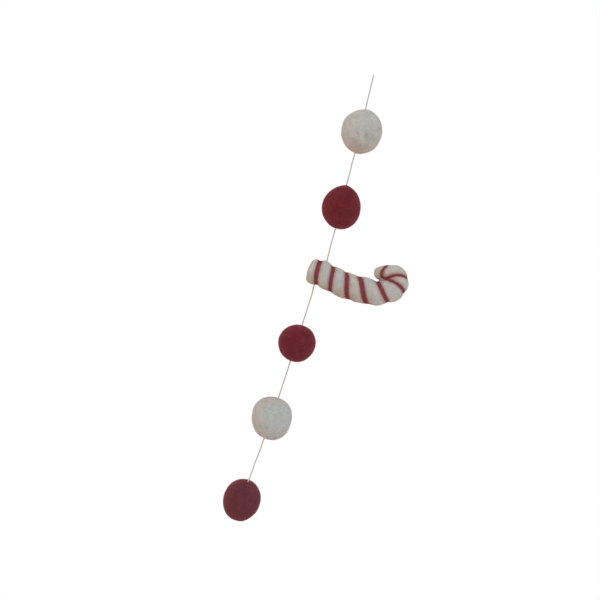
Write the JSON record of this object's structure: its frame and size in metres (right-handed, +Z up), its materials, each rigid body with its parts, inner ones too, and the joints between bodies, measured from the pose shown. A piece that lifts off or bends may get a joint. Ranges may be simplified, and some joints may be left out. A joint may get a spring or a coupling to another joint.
{
  "type": "felt garland",
  "caption": "Felt garland: white and red wool felt balls and a striped felt candy cane threaded on one thin cotton string.",
  "frame": {"origin": "the string's top end, on its centre line, where the garland is held", "axes": "+Z up, the way the garland hangs; +X to the viewer's right; +Y away from the viewer, front to back"},
  "size_m": [0.1116, 0.0252, 0.2679],
  "materials": {
    "white_felt": "matte, slightly fuzzy wet-felted white wool",
    "red_felt": "matte, slightly fuzzy wet-felted dark red wool",
    "red_roving": "matte, needled strand of red wool roving",
    "cotton_string": "matte plied natural cotton"
  },
  "bodies": {
    "root": {"ball_1_white": "white_felt", "ball_2_red": "red_felt", "candy_cane": "white_felt", "stripe_shaft": "red_roving", "stripe_crook_1": "red_roving", "stripe_crook_2": "red_roving", "stripe_crook_3": "red_roving", "ball_3_red": "red_felt", "ball_4_white": "white_felt", "ball_5_red": "red_felt", "string": "cotton_string"}
  },
  "joints": []
}
